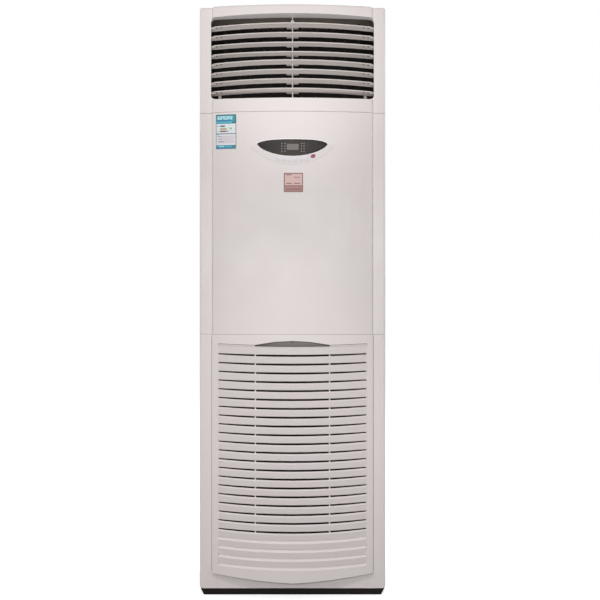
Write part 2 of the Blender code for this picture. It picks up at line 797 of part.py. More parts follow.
def make_duct(parts, helpers, materials):
    material = materials["duct_dark"]
    grey = materials["duct_grey"]
    outer = DUCT_HALF + DUCT_WALL
    box(
        "duct_ceiling",
        (-outer, DUCT_FRONT, DUCT_TOP + SEAT_GAP),
        (outer, DUCT_BACK, DUCT_TOP + DUCT_WALL),
        grey,
        parts,
    )
    floor = box(
        "duct_floor",
        (-outer, DUCT_FRONT, DUCT_BOTTOM - DUCT_WALL),
        (outer, DUCT_BACK, DUCT_BOTTOM - SEAT_GAP),
        grey,
        parts,
    )
    for sign in (-1, 1):
        x = sign * (DUCT_HALF - BOSS_INSET)
        y = STRIP_Y + BOSS_SETBACK
        boss = cylinder(
            f"boss_{sign}",
            BOSS_RADIUS,
            (x, y, DUCT_BOTTOM - DUCT_WALL / 2),
            (x, y, DUCT_BOTTOM + BOSS_HEIGHT),
            "Z",
            grey,
            parts,
            segments=10,
        )
        boolean(floor, mark_helper(boss, helpers), "UNION")
    box(
        "duct_back",
        (-outer, DUCT_BACK + SEAT_GAP, DUCT_BOTTOM - DUCT_WALL),
        (outer, DUCT_BACK + DUCT_WALL, DUCT_TOP + DUCT_WALL),
        material,
        parts,
    )
    for side, sign in (("left", -1), ("right", 1)):
        pierced_wall(
            f"duct_side_{side}",
            sorted((sign * DUCT_HALF, sign * outer)),
            (DUCT_SIDE_FRONT, DUCT_BACK),
            (DUCT_BOTTOM, DUCT_TOP),
            PIN_RADIUS + PIN_CLEARANCE,
            material,
            parts,
        )


def make_centre_stay(parts, helpers, materials):
    material = materials["louvre_grey"]
    front = BLADE_AXIS_Y - STAY_FRONT
    stay = pierced_wall(
        "centre_stay",
        (-STAY_WIDTH / 2, STAY_WIDTH / 2),
        (front, BLADE_AXIS_Y + STAY_REAR),
        (DUCT_BOTTOM + SEAT_GAP, DUCT_TOP - SEAT_GAP),
        STAY_PIN_RADIUS + PIN_CLEARANCE,
        material,
        parts,
    )
    clip_low = DUCT_TOP - STAY_CLIP_DROP
    clip = box(
        "stay_clip",
        (-STAY_CLIP_HALF, front + 0.0005, clip_low),
        (STAY_CLIP_HALF, BLADE_AXIS_Y - 0.0005, clip_low + STAY_CLIP_HEIGHT),
        material,
        parts,
    )
    boolean(stay, mark_helper(clip, helpers), "UNION")
    return stay


def blade_nose(x):
    """The nose's y from the axis, in the neutral position."""
    setback = BLADE_BOW * (x / CENTRE_HALF) ** 2
    past = max(0.0, abs(x) - (BLADE_HALF - BLADE_END_RADIUS)) / BLADE_END_RADIUS
    setback += BLADE_END_RADIUS * (1 - math.sqrt(max(0.0, 1 - past * past)))
    return -BLADE_NOSE_REACH + setback


def blade_section(x):
    """The blade's outline at x as (y, z) about the axis, in the neutral position."""
    nose = blade_nose(x)
    rear = -BLADE_NOSE_REACH + BLADE_CHORD * math.cos(BLADE_SLOPE)
    rear += BLADE_BOW * (x / CENTRE_HALF) ** 2
    fall = math.tan(BLADE_SLOPE)
    lip = BLADE_LIP
    points = [
        (0.5 * lip, 0.95 * lip),
        (0.0, 0.45 * lip),
        (0.0, -0.6 * lip),
        (0.6 * lip, -lip),
        (2.2 * lip, -0.65 * lip),
        (None, -BLADE_HALF_THICK),
        (None, BLADE_HALF_THICK),
        (2.2 * lip, 0.65 * lip),
    ]
    section = []
    for along, z in points:
        y = rear if along is None else nose + along
        section.append((y, BLADE_NOSE_RISE - fall * (y - nose) + z))
    return section


def make_blade_mesh(parts, helpers, materials):
    """One blade about its own axis, with its end pins and the arms at its middle."""
    material = materials["louvre_grey"]
    curl = BLADE_HALF - BLADE_END_RADIUS
    ends = [BLADE_HALF - 0.02 * BLADE_END_RADIUS, BLADE_HALF - 0.25 * BLADE_END_RADIUS, curl]
    stations = [-x for x in ends] + spaced(-0.82 * curl, 0.82 * curl, 7) + ends[::-1]
    bm = bmesh.new()
    rings = [[bm.verts.new((x, y, z)) for y, z in blade_section(x)] for x in stations]
    count = len(rings[0])
    for near, far in zip(rings, rings[1:]):
        for i in range(count):
            k = (i + 1) % count
            bm.faces.new((near[i], near[k], far[k], far[i]))
    bm.faces.new(rings[0])
    bm.faces.new(rings[-1][::-1])
    bmesh.ops.recalc_face_normals(bm, faces=bm.faces)
    blade = object_from("blade", bm, material, parts)
    thick = BLADE_HALF_THICK
    plan = [(-LUG_HALF, -LUG_FRONT), (LUG_HALF, -LUG_FRONT), (LUG_TIP_HALF, -LUG_TIP), (-LUG_TIP_HALF, -LUG_TIP)]
    lug = prism("lug", plan, -0.9 * thick, 0.9 * thick, material, parts)
    for vert in lug.data.vertices:
        vert.co.z += BLADE_NOSE_RISE - math.tan(BLADE_SLOPE) * (BLADE_NOSE_REACH + vert.co.y)
    arms = box(
        "arms",
        (-ARM_HALF, -ARM_FRONT, -ARM_DROP),
        (ARM_HALF, STAY_PIN_RADIUS / 2, STAY_PIN_RADIUS / 2),
        material,
        parts,
    )
    fork = box(
        "fork_gap",
        (-STAY_WIDTH / 2 - STAY_SIDE_GAP, -STAY_SLOT, -0.02),
        (STAY_WIDTH / 2 + STAY_SIDE_GAP, 0.02, 0.02),
        material,
        parts,
    )
    pins = [
        cylinder(
            "stay_pin",
            STAY_PIN_RADIUS,
            (-STAY_PIN_HALF, 0, 0),
            (STAY_PIN_HALF, 0, 0),
            "X",
            material,
            parts,
            8,
        )
    ]
    for sign in (-1, 1):
        inner = sign * (BLADE_HALF - PIN_INNER)
        pin_end = sign * (DUCT_HALF + DUCT_WALL - PIN_CLEARANCE)
        start, end = sorted((inner, pin_end))
        pins.append(
            cylinder(f"pin_{sign}", PIN_RADIUS, (start, 0, 0), (end, 0, 0), "X", material, parts, 8)
        )
    boolean(blade, mark_helper(lug, helpers), "UNION")
    boolean(blade, mark_helper(arms, helpers), "UNION")
    boolean(blade, mark_helper(fork, helpers), "DIFFERENCE")
    for pin in pins:
        boolean(blade, mark_helper(pin, helpers), "UNION")
    baked(blade)
    mesh = blade.data
    bpy.data.objects.remove(blade, do_unlink=True)
    return mesh


def make_blades(parts, helpers, materials):
    mesh = make_blade_mesh(parts, helpers, materials)
    for index in range(BLADE_COUNT):
        blade = bpy.data.objects.new(f"louvre_blade_{index + 1}", mesh)
        blade.location = (0, BLADE_AXIS_Y, blade_axis_z(index))
        blade.rotation_euler.x = -math.radians(BLADE_TILTS[index])
        parts.objects.link(blade)


def make_vanes(parts, helpers, materials):
    material = materials["vane_grey"]
    low = DUCT_BOTTOM + VANE_MARGIN
    high = DUCT_TOP - VANE_MARGIN
    vane = box(
        "vane",
        (-VANE_THICK / 2, -VANE_DEPTH / 2, low),
        (VANE_THICK / 2, VANE_DEPTH / 2, high),
        material,
        parts,
    )
    pin = cylinder(
        "vane_pin", VANE_PIN_RADIUS, (0, 0, DUCT_BOTTOM), (0, 0, DUCT_TOP), "Z", material, parts, 8
    )
    boolean(vane, mark_helper(pin, helpers), "UNION")
    baked(vane)
    mesh = vane.data
    bpy.data.objects.remove(vane, do_unlink=True)
    for index in range(VANE_COUNT):
        obj = bpy.data.objects.new(f"swing_vane_{index + 1}", mesh)
        obj.location = (vane_axis_x(index), VANE_AXIS_Y, 0)
        parts.objects.link(obj)


def lens_top(x):
    t = min(1.0, abs(x) / LENS_HALF)
    return LENS_TIP_Z + LENS_RISE * (1 - t**2.8) ** 0.55


def lens_bottom(x):
    t = min(1.0, abs(x) / LENS_HALF)
    return LENS_TIP_Z - LENS_DROP * (1 - t**2) ** 0.68


def bezel_top(x):
    t = min(1.0, abs(x) / BEZEL_HALF)
    return BEZEL_TIP_Z + BEZEL_RISE * (1 - t**2) ** 0.8


def bezel_bottom(x):
    t = min(1.0, abs(x) / BEZEL_HALF)
    return BEZEL_TIP_Z - BEZEL_DROP * (1 - t**2) ** 0.9


def key_line(x):
    """Height of the middle of the keys at x."""
    return lens_bottom(x) + (bezel_bottom(x) - lens_bottom(x)) * KEY_SHARE


def arc_plate(name, half, bottom, top, lift, thickness, material, collection, columns=16):
    """A thin plate between two curves, bowed with the front and lifted off it."""
    share = [math.sin(math.pi / 2 * t) for t in spaced(-1, 1, columns)]
    xs = [half * 0.996 * s for s in share]

    def place(i, j):
        x = xs[i]
        return Vector((x, front_y(x) - lift, top(x) if j else bottom(x)))

    bm = shaped_grid(columns, 1, place)
    obj = object_from(name, bm, material, collection)
    solidify(obj, thickness, 1.0)
    return obj


def key_place(index):
    """(x, z, slope) of a key on the strip below the lens; the power button is key KEY_COUNT."""
    x = (index - (KEY_COUNT - 1) / 2) * KEY_PITCH
    z = key_line(x)
    return x, z, math.atan2(key_line(x + 0.001) - z, 0.001)


def oval_key(name, index, half, height, lift, rise, material, collection):
    """An oval button that stands on the bowed front."""
    x, z, slope = key_place(index)
    bm = bmesh.new()
    bmesh.ops.create_cone(
        bm, cap_ends=True, segments=12, radius1=1.0, radius2=0.86, depth=1.0
    )
    depth = rise + 0.0003
    lean = math.atan2(front_y(x + 0.001) - front_y(x), 0.001)
    matrix = (
        Matrix.Translation((x, front_y(x) - lift - rise / 2 + 0.00015, z))
        @ Matrix.Rotation(lean, 4, "Z")
        @ Matrix.Rotation(-slope, 4, "Y")
        @ Matrix.Rotation(math.pi / 2, 4, "X")
        @ Matrix.Diagonal((half, height, depth, 1.0))
    )
    bmesh.ops.transform(bm, matrix=matrix, verts=bm.verts)
    return object_from(name, bm, material, collection)


def make_controls(parts, helpers, materials):
    bezel_lift = SEAT_GAP
    arc_plate(
        "control_bezel",
        BEZEL_HALF,
        bezel_bottom,
        bezel_top,
        bezel_lift,
        BEZEL_THICK,
        materials["bezel_white"],
        parts,
    )
    lens_lift = bezel_lift + BEZEL_THICK + SEAT_GAP
    arc_plate(
        "display_lens",
        LENS_HALF,
        lens_bottom,
        lens_top,
        lens_lift,
        LENS_THICK,
        materials["lens_brown"],
        parts,
    )
    keypad = arc_plate(
        "keypad",
        key_place(KEY_COUNT - 1)[0] + KEY_HALF + KEY_MARGIN,
        lambda x: key_line(x) - KEY_HEIGHT - KEY_MARGIN,
        lambda x: key_line(x) + KEY_HEIGHT + KEY_MARGIN,
        lens_lift,
        KEYPAD_THICK,
        materials["key_white"],
        parts,
    )
    for index in range(KEY_COUNT):
        key = oval_key(
            f"key_{index}",
            index,
            KEY_HALF,
            KEY_HEIGHT,
            lens_lift + KEYPAD_THICK,
            KEY_RISE,
            materials["key_white"],
            parts,
        )
        boolean(keypad, mark_helper(key, helpers), "UNION")
    oval_key(
        "power_button",
        KEY_COUNT,
        POWER_HALF,
        POWER_HEIGHT,
        lens_lift + 0.0003,
        KEY_RISE + 0.0003,
        materials["power_red"],
        parts,
    )


def main():
    clear_scene()
    parts = make_collection("floor_standing_air_conditioner")
    helpers = make_collection("cutters")
    materials = {name: make_material(name) for name in MATERIALS}
    make_plinth(parts, materials)
    make_outlet_frame(parts, helpers, materials)
    make_middle_panel(parts, materials)
    make_posts(parts, materials)
    make_kick_panel(parts, materials)
    make_intake_panel(parts, helpers, materials)
    make_filter(parts, helpers, materials)
    make_side_panels(parts, materials)
    make_back_panel(parts, helpers, materials)
    make_top_cover(parts, helpers, materials)
    make_duct(parts, helpers, materials)
    make_centre_stay(parts, helpers, materials)
    make_blades(parts, helpers, materials)
    make_vanes(parts, helpers, materials)
    make_controls(parts, helpers, materials)
    for obj in parts.objects:
        smooth(obj)


main()
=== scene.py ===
import json
import math

import bmesh
import bpy
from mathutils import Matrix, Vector


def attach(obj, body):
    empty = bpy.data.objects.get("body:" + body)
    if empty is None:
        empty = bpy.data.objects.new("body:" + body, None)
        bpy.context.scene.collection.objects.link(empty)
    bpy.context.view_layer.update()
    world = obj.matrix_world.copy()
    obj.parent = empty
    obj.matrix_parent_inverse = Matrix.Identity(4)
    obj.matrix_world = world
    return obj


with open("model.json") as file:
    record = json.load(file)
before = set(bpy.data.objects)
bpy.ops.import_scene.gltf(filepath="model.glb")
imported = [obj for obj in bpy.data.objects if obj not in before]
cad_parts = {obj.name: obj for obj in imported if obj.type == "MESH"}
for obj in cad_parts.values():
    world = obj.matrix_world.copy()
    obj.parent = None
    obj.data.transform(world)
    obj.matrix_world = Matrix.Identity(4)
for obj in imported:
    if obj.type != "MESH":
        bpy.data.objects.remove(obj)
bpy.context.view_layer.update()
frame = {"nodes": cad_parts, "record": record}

# Sizes shared with the CAD model, in metres
STRIP_Y = -0.350 / 2 + 0.0037 + 0.010 + 0.022  # the flat strips beside the bowed front
CENTRE_HALF = 0.242  # half the bowed front's width
STEP = 0.010  # from the strips to the bowed front's edges
BOW = 0.022
BLADE_COUNT = 8
BLADE_TOP_AXIS = 1.7097
BLADE_PITCH = (BLADE_TOP_AXIS - 1.5140) / (BLADE_COUNT - 1)
BLADE_AXIS_Y = STRIP_Y + 0.015
BLADE_TILTS = (13.0, 11.0, 9.0, 8.0, 15.5, 15.0, 14.5, 13.0)
BLADE_SLOPE = math.radians(8)
BLADE_NOSE_Y, BLADE_NOSE_Z = -0.032, 0.0015  # from the blade's axis
BLADE_BOW = 0.026
HANDLE_DEPTH = 0.022
SLOTS_BOTTOM, BLIND_ROWS_TOP = 0.188, 0.180  # of the intake panel
LENS_TIP_Z, LENS_HALF, LENS_RISE, LENS_DROP = 1.3519, 0.1045, 0.0138, 0.0356
BEZEL_TIP_Z, BEZEL_HALF, BEZEL_DROP = 1.3445, 0.1260, 0.0540

# How far faces on the bowed front stand before it
LENS_FACE = 0.0033
KEY_FACE = 0.0036
BEZEL_FACE = 0.0019
PRINT_FACE, PRINT_LAYER = 0.0005, 0.0002  # the lowest printed layer, and from one to the next

# Thin dark strips between the intake panel and the posts, which paint the shade in the seams
SEAM_SHADE_GAP, SEAM_SHADE_WIDTH, SEAM_SHADE_HEIGHT = 0.0005, 0.0011, 0.0005
SEAM_SHADE_FOOT, SEAM_SHADE_TOP = 0.072, 0.781

# The photograph's scale at the plane of the side strips, and where it was taken from
METRES_PER_PIXEL = 0.0030108
CAMERA_DISTANCE = 2.609
CAMERA_HEIGHT = 0.888
CAMERA_X = 0.0226

# Share of light that the floor gives back to the object and to the camera, and its glow
FLOOR_BOUNCE, FLOOR_PALE = 0.02, 0.80
GLOW_NEAR, GLOW_FAR = 0.53, 0.76
NEAR, FAR = 0.7, 2.6  # metres from the object's middle

# Where most values of a noise lie
NOISE_LOW, NOISE_HIGH = 0.3, 0.7


def front_y(x):
    """The bowed front's y at x."""
    t = min(1.0, abs(x) / CENTRE_HALF)
    return STRIP_Y - STEP - BOW * (1 - t * t)


def linear(hex_colour):
    """Linear RGBA of a display colour such as DCD6D4."""
    values = [int(hex_colour[i : i + 2], 16) / 255 for i in (0, 2, 4)]
    rgb = [v / 12.92 if v <= 0.04045 else ((v + 0.055) / 1.055) ** 2.4 for v in values]
    return (*rgb, 1.0)


# Materials


def node(tree, kind, **settings):
    new = tree.nodes.new(kind)
    for key, value in settings.items():
        setattr(new, key, value)
    return new


def put(tree, value, socket):
    """Link an output to the socket, or set the socket to a plain value."""
    if isinstance(value, bpy.types.NodeSocket):
        tree.links.new(value, socket)
    else:
        socket.default_value = value


def maths(tree, operation, *values):
    new = node(tree, "ShaderNodeMath", operation=operation)
    for value, socket in zip(values, new.inputs):
        put(tree, value, socket)
    return new.outputs[0]


def split_xyz(tree, vector):
    new = node(tree, "ShaderNodeSeparateXYZ")
    put(tree, vector, new.inputs[0])
    return new.outputs


def noise(tree, vector, scale, detail):
    new = node(tree, "ShaderNodeTexNoise")
    put(tree, vector, new.inputs["Vector"])
    put(tree, scale, new.inputs["Scale"])
    put(tree, detail, new.inputs["Detail"])
    return new.outputs["Fac"]


def map_range(tree, value, low, high, from_low=NOISE_LOW, from_high=NOISE_HIGH):
    new = node(tree, "ShaderNodeMapRange")
    ends = {"From Min": from_low, "From Max": from_high, "To Min": low, "To Max": high}
    for name, end in ends.items():
        put(tree, end, new.inputs[name])
    put(tree, value, new.inputs["Value"])
    return new.outputs["Result"]


def ramp(tree, value, start, end):
    """0 at start, 1 at end."""
    return map_range(tree, value, 0.0, 1.0, start, end)


def mix_colour(tree, factor, first, second):
    new = node(tree, "ShaderNodeMix", data_type="RGBA")
    for index, value in ((0, factor), (6, first), (7, second)):
        put(tree, value, new.inputs[index])
    return new.outputs[2]


def start_material(name):
    material = bpy.data.materials.new(name)
    material.use_nodes = True
    tree = material.node_tree
    shader = tree.nodes["Principled BSDF"]
    coords = node(tree, "ShaderNodeTexCoord").outputs["Object"]
    return material, tree, shader, coords


def colour_and_gloss(tree, shader, slow, colours, uneven, gloss):
    """A colour that wanders with one noise, and a roughness that wanders with another."""
    shade = mix_colour(tree, map_range(tree, slow, 0.0, 1.0), *colours)
    put(tree, shade, shader.inputs["Base Color"])
    put(tree, map_range(tree, uneven, *gloss), shader.inputs["Roughness"])


def add_bump(tree, shader, height, strength, distance):
    bump = node(tree, "ShaderNodeBump")
    put(tree, strength, bump.inputs["Strength"])
    put(tree, distance, bump.inputs["Distance"])
    put(tree, height, bump.inputs["Height"])
    put(tree, bump.outputs["Normal"], shader.inputs["Normal"])


def moulded(name, colour, tint, roughness, grain=900.0, strength=0.06, coat=0.0, specular=0.5):
    """Moulded plastic: slow tint over the surface, fine spark-eroded grain, uneven gloss."""
    material, tree, shader, coords = start_material(name)
    colour_and_gloss(
        tree,
        shader,
        noise(tree, coords, 3.0, 2.0),
        (linear(colour), linear(tint)),
        noise(tree, coords, 14.0, 4.0),
        (roughness - 0.05, roughness + 0.05),
    )
    add_bump(tree, shader, noise(tree, coords, grain, 2.0), strength, 0.0004)
    put(tree, specular, shader.inputs["Specular IOR Level"])
    put(tree, coat, shader.inputs["Coat Weight"])
    put(tree, 0.25, shader.inputs["Coat Roughness"])
    return material


def powder_coat(name, colour, tint, roughness, specular=0.5):
    """Powder-coated sheet: orange peel at a few millimetres, and fine grain in it."""
    material, tree, shader, coords = start_material(name)
    peel = noise(tree, coords, 260.0, 2.0)
    colour_and_gloss(
        tree,
        shader,
        noise(tree, coords, 2.2, 3.0),
        (linear(colour), linear(tint)),
        peel,
        (roughness - 0.05, roughness + 0.06),
    )
    add_bump(tree, shader, peel, 0.10, 0.0006)
    put(tree, specular, shader.inputs["Specular IOR Level"])
    return material


def printed(name, colour, roughness=0.45):
    """Print or film with a faint unevenness."""
    material, tree, shader, coords = start_material(name)
    grain = noise(tree, coords, 420.0, 3.0)
    bright = linear(colour)
    dark = (*(0.86 * value for value in bright[:3]), 1.0)
    gloss = (roughness - 0.04, roughness + 0.04)
    colour_and_gloss(tree, shader, grain, (bright, dark), grain, gloss)
    add_bump(tree, shader, grain, 0.03, 0.0003)
    return material


def filter_mesh(name):
    """Woven filter cloth: two crossing sets of fine dark threads."""
    material, tree, shader, coords = start_material(name)
    threads = []
    for direction in ("X", "Z"):
        wave = node(tree, "ShaderNodeTexWave", wave_type="BANDS", bands_direction=direction)
        put(tree, 120.0, wave.inputs["Scale"])
        put(tree, 0.4, wave.inputs["Distortion"])
        put(tree, coords, wave.inputs["Vector"])
        threads.append(wave.outputs["Fac"])
    weave = maths(tree, "MULTIPLY", *threads)
    shade = mix_colour(tree, weave, linear("1C1917"), linear("3A3532"))
    put(tree, shade, shader.inputs["Base Color"])
    put(tree, 0.9, shader.inputs["Roughness"])
    add_bump(tree, shader, weave, 0.5, 0.0008)
    return material


def smoked_lens(name):
    """Smoked polished plastic, a little browner at its ends and dusty in its gloss."""
    material, tree, shader, coords = start_material(name)
    away = maths(tree, "ABSOLUTE", split_xyz(tree, coords)["X"])
    shade = mix_colour(tree, ramp(tree, away, 0.015, 0.095), linear("3C3533"), linear("1A1210"))
    put(tree, shade, shader.inputs["Base Color"])
    dust = noise(tree, coords, 60.0, 5.0)
    put(tree, map_range(tree, dust, 0.14, 0.24), shader.inputs["Roughness"])
    add_bump(tree, shader, noise(tree, coords, 25.0, 1.0), 0.02, 0.001)
    put(tree, 0.3, shader.inputs["Specular IOR Level"])
    put(tree, 0.1, shader.inputs["Coat Weight"])
    put(tree, 0.08, shader.inputs["Coat Roughness"])
    return material


def front_plastic(name):
    """The front's plastic, with its tree, its colour socket and what feeds that."""
    material = moulded(name, "E3DAD9", "DFD7D5", 0.42, coat=0.12)
    tree = material.node_tree
    socket = tree.nodes["Principled BSDF"].inputs["Base Color"]
    return material, tree, socket, socket.links[0].from_socket


def surface_rise(tree):
    """The upward part of a surface's normal: 1 on a level top, -1 on an underside."""
    return split_xyz(tree, node(tree, "ShaderNodeNewGeometry").outputs["Normal"])["Z"]


def intake_plastic_painted_shade(name):
    """The front's plastic, with painted shade: darker in the handle recess, most of all towards
    its bottom, and dark on the walls of the slots.
    """
    material, tree, socket, front_colour = front_plastic(name)
    place = split_xyz(tree, node(tree, "ShaderNodeTexCoord").outputs["Object"])
    height = place["Z"]

    # How far a point lies behind the bowed front
    square = maths(tree, "MULTIPLY", place["X"], place["X"])
    fall = maths(tree, "MULTIPLY", square, -BOW / CENTRE_HALF**2)
    depth = maths(tree, "ADD", maths(tree, "ADD", fall, place["Y"]), -front_y(0.0))

    # Painted shade: the steep walls of the slots, above the blind rows, are painted dark
    steep = maths(tree, "ABSOLUTE", surface_rise(tree))
    above_blind_rows = ramp(tree, height, BLIND_ROWS_TOP, SLOTS_BOTTOM)
    wall = maths(tree, "MULTIPLY", ramp(tree, steep, 0.88, 0.96), above_blind_rows)
    slot_wall_shade_colour = mix_colour(tree, wall, front_colour, linear("37302D"))

    # Painted shade in the handle recess, darker towards its bottom
    grey = mix_colour(tree, ramp(tree, height, 0.752, 0.764), linear("6A615B"), linear("857B71"))
    deep = ramp(tree, depth, 0.006, 0.012)
    recess_shade_mask = maths(tree, "MULTIPLY", deep, ramp(tree, height, 0.70, 0.71))
    put(tree, mix_colour(tree, recess_shade_mask, slot_wall_shade_colour, grey), socket)
    return material


def lip_plastic_painted_light(name):
    """The head's plastic, with painted light: paler on the undersides of the outlet's lips."""
    material, tree, socket, front_colour = front_plastic(name)
    # Painted light: faces turned downwards are painted paler
    underside = map_range(tree, surface_rise(tree), 1.0, 0.0, -0.95, -0.80)
    put(tree, mix_colour(tree, underside, front_colour, linear("F4F0EE")), socket)
    return material


looks = {
    "ivory_plastic": moulded("ivory_plastic_look", "E3DAD9", "DFD7D5", 0.42, coat=0.12),
    "ivory_paint": powder_coat("ivory_paint_look", "E1D9D7", "DDD5D2", 0.46),
    # Painted shade: the blades' ivory, darkened
    "louvre_grey": moulded("louvre_shaded_look", "D2CAC6", "CDC5C1", 0.45),
    "duct_dark": moulded("duct_look", "1C1511", "15100D", 0.85, grain=300.0, strength=0.3),
    "duct_grey": moulded("duct_grey_look", "B3A79E", "ABA097", 0.6),
    "vane_grey": moulded("vane_look", "1D1612", "17110E", 0.75, specular=0.25),
    "plinth_black": powder_coat("plinth_look", "15110F", "1B1715", 0.8, specular=0.15),
    "filter_dark": filter_mesh("filter_look"),
    "lens_brown": smoked_lens("lens_look"),
    "bezel_white": moulded("bezel_look", "DED6D5", "D8D0CF", 0.34, coat=0.2),
    "key_white": moulded("key_look", "E2DCE0", "DAD3D8", 0.45),
    "power_red": moulded("power_look", "8F1E45", "7E1B38", 0.35, coat=0.2),
}
own_looks = {
    "intake_panel": intake_plastic_painted_shade("intake_painted_shade_look"),
    "outlet_frame": lip_plastic_painted_light("outlet_painted_light_look"),
}
slots = {entry["node"]: entry["material_slot"] for entry in frame["record"]["subparts"]}
for name, obj in frame["nodes"].items():
    look = own_looks.get(name, looks[slots[name]])
    if obj.material_slots:
        for slot in obj.material_slots:
            slot.material = look
    else:
        obj.data.materials.append(look)


# Shapes


def add_object(name, bm, material, body="cabinet"):
    mesh = bpy.data.meshes.new(name)
    bm.to_mesh(mesh)
    bm.free()
    mesh.materials.append(material)
    obj = bpy.data.objects.new(name, mesh)
    bpy.context.scene.collection.objects.link(obj)
    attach(obj, body)
    return obj


def front_patch(name, outline, lift, thickness, material, steps=10):
    """A thin plate with an XZ outline that follows the bowed front, lift before it."""
    bm = bmesh.new()
    bm.faces.new([bm.verts.new((x, 0.0, z)) for x, z in outline])
    low, high = min(x for x, _ in outline), max(x for x, _ in outline)
    for step in range(1, steps):
        x = low + (high - low) * step / steps
        geometry = bm.verts[:] + bm.edges[:] + bm.faces[:]
        bmesh.ops.bisect_plane(
            bm, geom=geometry, plane_co=(x, 0, 0), plane_no=(1, 0, 0), dist=1e-7
        )
    bm.normal_update()
    bm.faces.ensure_lookup_table()
    if bm.faces[0].normal.y > 0:
        bmesh.ops.reverse_faces(bm, faces=bm.faces)
    for vert in bm.verts:
        vert.co.y = front_y(vert.co.x) - lift
    wall = add_object(name, bm, material).modifiers.new("Wall", "SOLIDIFY")
    wall.thickness = thickness
    wall.offset = 1.0


def rectangle(x_low, x_high, z_low, z_high, radius=0.0, steps=4):
    if not radius:
        return [(x_low, z_low), (x_high, z_low), (x_high, z_high), (x_low, z_high)]
    points = []
    for cx, cz, start in (
        (x_high - radius, z_low + radius, -0.5),
        (x_high - radius, z_high - radius, 0.0),
        (x_low + radius, z_high - radius, 0.5),
        (x_low + radius, z_low + radius, 1.0),
    ):
        for step in range(steps + 1):
            angle = math.pi * (start + 0.5 * step / steps)
            points.append((cx + radius * math.cos(angle), cz + radius * math.sin(angle)))
    return points


def disc(name, place, radius, depth, material, body="cabinet", normal=(0, -1, 0)):
    """A small round head with a chamfered rim, facing along normal."""
    bm = bmesh.new()
    bmesh.ops.create_cone(
        bm, cap_ends=True, segments=20, radius1=radius, radius2=radius * 0.8, depth=depth
    )
    turn = Vector((0, 0, 1)).rotation_difference(Vector(normal)).to_matrix().to_4x4()
    bmesh.ops.transform(bm, matrix=turn, verts=bm.verts)
    bmesh.ops.translate(bm, verts=bm.verts, vec=place)
    add_object(name, bm, material, body)


# Dark strips in the corners between the intake panel and the posts: painted shade in the seams
seam_shade_look = printed("seam_shade_look", "8A827E", 0.6)
for side in (-1, 1):
    bm = bmesh.new()
    bmesh.ops.create_cube(bm, size=1.0)
    bmesh.ops.scale(bm, verts=bm.verts, vec=(SEAM_SHADE_WIDTH, SEAM_SHADE_HEIGHT, SEAM_SHADE_TOP - SEAM_SHADE_FOOT))
    place = (
        side * (CENTRE_HALF + SEAM_SHADE_GAP + SEAM_SHADE_WIDTH / 2),
        STRIP_Y - SEAM_SHADE_HEIGHT / 2,
        (SEAM_SHADE_TOP + SEAM_SHADE_FOOT) / 2,
    )
    bmesh.ops.translate(bm, verts=bm.verts, vec=place)
    add_object(f"panel_seam_shade_{side}", bm, seam_shade_look)


# Display window, and the small fields beside it
lcd_look = printed("lcd_look", "6A6260", 0.35)
icon_look = printed("icon_look", "7E7874", 0.4)
ICON_X = (-0.0315, -0.0220, 0.0270, 0.0345)
ICON_TOP, ICON_PITCH, ICON_ROWS = 1.3530, 0.0078, 4
window = rectangle(-0.0165, 0.0185, 1.3340, 1.3518, 0.001)
front_patch("lcd_window", window, LENS_FACE, 0.0004, lcd_look)
for column, x in enumerate(ICON_X):
    for row in range(ICON_ROWS):
        z = ICON_TOP - row * ICON_PITCH
        icon = rectangle(x - 0.0017, x + 0.0017, z - 0.0016, z + 0.0016, 0.0005, 2)
        front_patch(f"icon_{column}_{row}", icon, LENS_FACE, 0.0003, icon_look, 2)


def lens_edge(x, upper):
    """Height of the lens's upper or lower edge at x."""
    t = min(1.0, abs(x) / LENS_HALF)
    if upper:
        return LENS_TIP_Z + LENS_RISE * (1 - t**2.8) ** 0.55
    return LENS_TIP_Z - LENS_DROP * (1 - t**2) ** 0.68


def key_line(x):
    """Height of the middle of the keys at x."""
    t = min(1.0, abs(x) / BEZEL_HALF)
    foot = BEZEL_TIP_Z - BEZEL_DROP * (1 - t**2) ** 0.9
    return lens_edge(x, False) + (foot - lens_edge(x, False)) * 0.40


# Pale rims along the lens's edges: painted highlights
lens_highlight_look = moulded("lens_highlight_look", "FBF8F7", "F7F4F3", 0.22, coat=0.4)
RIM_STEPS, RIM_REACH, SLOPE_LIMIT, HALF_STRIDE = 40, 0.996, 2.0, 0.0004
for name, upper, side, width in (
    ("lens_rim_upper", True, 1, 0.0030),
    ("lens_rim_lower", False, -1, 0.0017),
):
    bm = bmesh.new()
    rows = []
    for step in range(RIM_STEPS + 1):
        x = RIM_REACH * LENS_HALF * math.sin(math.pi * (step / RIM_STEPS - 0.5))
        rise = lens_edge(x + HALF_STRIDE, upper) - lens_edge(x - HALF_STRIDE, upper)
        slope = max(-SLOPE_LIMIT, min(SLOPE_LIMIT, rise / (2 * HALF_STRIDE)))
        length = math.hypot(1.0, slope)
        row = []
        for away, lift in ((0.0004, 0.0019), (0.5 * width, 0.0026), (width, 0.0018)):
            px = x - side * slope / length * away
            pz = lens_edge(x, upper) + side * away / length
            row.append(bm.verts.new((px, front_y(px) - lift, pz)))
        rows.append(row)
    for near, far in zip(rows, rows[1:]):
        for k in (0, 1):
            quad = (near[k], far[k], far[k + 1], near[k + 1])
            bm.faces.new(quad if upper else quad[::-1])
    for face in bm.faces:
        face.smooth = True
    add_object(name, bm, lens_highlight_look)

